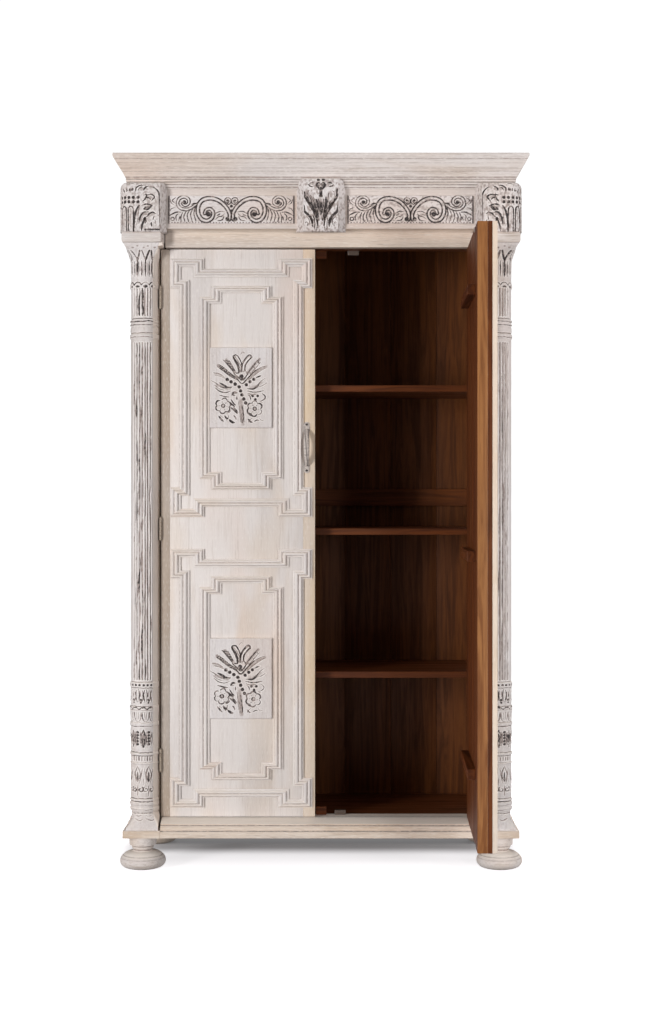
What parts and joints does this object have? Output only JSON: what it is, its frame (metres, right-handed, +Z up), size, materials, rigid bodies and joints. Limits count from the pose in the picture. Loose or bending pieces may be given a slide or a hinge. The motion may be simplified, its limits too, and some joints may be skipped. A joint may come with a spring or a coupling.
{
  "type": "two-door cabinet",
  "caption": "Tall wooden cabinet on bun feet: hinged doors with moulded panels and carved plaques, turned columns, carved frieze and consoles, moulded cornice, dark shelved inside.",
  "frame": {"origin": "on the floor, in the middle of the cabinet's width and of its depth from the cornice's front to the back boards", "axes": "+X to the right as one faces the doors, +Y to the back, +Z up"},
  "size_m": [1.24, 0.9213, 2.1395],
  "materials": {
    "limed_mango": "whitewashed, brushed and worn, matt",
    "carved_limed_mango": "whitewashed, dark wax in the carving, matt",
    "walnut_stained_mango": "dark stain, satin",
    "painted_hinge_steel": "cream paint, rubbed",
    "limed_cast_iron": "limed and rubbed, matt",
    "strike_steel": "brushed",
    "catch_plastic": "moulded, matt"
  },
  "bodies": {
    "cabinet": {"architrave": "limed_mango", "back_boards": "walnut_stained_mango", "back_rails": "walnut_stained_mango", "base_front_rail": "limed_mango", "base_side_mouldings": "limed_mango", "bed_moulding": "limed_mango", "capital_block_left": "limed_mango", "capital_block_right": "limed_mango", "centre_stops": "walnut_stained_mango", "column_left": "carved_limed_mango", "column_right": "carved_limed_mango", "console_centre": "carved_limed_mango", "console_corner_left": "carved_limed_mango", "console_corner_right": "carved_limed_mango", "cornice_front": "limed_mango", "cornice_left": "limed_mango", "cornice_right": "limed_mango", "feet_rear": "limed_mango", "floor_board": "walnut_stained_mango", "foot_front_left": "limed_mango", "foot_front_right": "limed_mango", "frieze_boards": "limed_mango", "frieze_panel_left": "carved_limed_mango", "frieze_panel_right": "carved_limed_mango", "front_post_left": "limed_mango", "front_post_right": "limed_mango", "head_rail": "walnut_stained_mango", "hinge_frame_leaves": "painted_hinge_steel", "hinge_pins": "painted_hinge_steel", "magnetic_catches": "catch_plastic", "plinth_block_left": "limed_mango", "plinth_block_right": "limed_mango", "rear_posts": "limed_mango", "shelf_cleats": "walnut_stained_mango", "shelf_lower": "walnut_stained_mango", "shelf_middle": "walnut_stained_mango", "shelf_upper": "walnut_stained_mango", "side_panels": "limed_mango", "side_rails": "limed_mango", "top_board": "limed_mango"},
    "left_door": {"handle_bow": "limed_cast_iron", "handle_ends": "limed_cast_iron", "handle_screws": "limed_cast_iron", "left_door_battens": "walnut_stained_mango", "left_door_core": "walnut_stained_mango", "left_door_face": "limed_mango", "left_hinge_leaves": "painted_hinge_steel", "left_inner_mouldings": "limed_mango", "left_outer_mouldings": "limed_mango", "left_plaques": "carved_limed_mango", "left_strike_plates": "strike_steel"},
    "right_door": {"right_closing_strip": "limed_mango", "right_door_battens": "walnut_stained_mango", "right_door_core": "walnut_stained_mango", "right_door_face": "limed_mango", "right_hinge_leaves": "painted_hinge_steel", "right_inner_mouldings": "limed_mango", "right_outer_mouldings": "limed_mango", "right_plaques": "carved_limed_mango", "right_strike_plates": "strike_steel"}
  },
  "joints": [
    {"name": "left_door_hinge", "type": "hinge", "parent": "cabinet", "child": "left_door", "pos_m": [-0.4867, -0.1645, 1.02], "axis": [0, 0, -1], "range_deg": [0, 95]},
    {"name": "right_door_hinge", "type": "hinge", "parent": "cabinet", "child": "right_door", "pos_m": [0.4867, -0.1645, 1.02], "axis": [0, 0, 1], "range_deg": [-88.5, 6.5]}
  ]
}
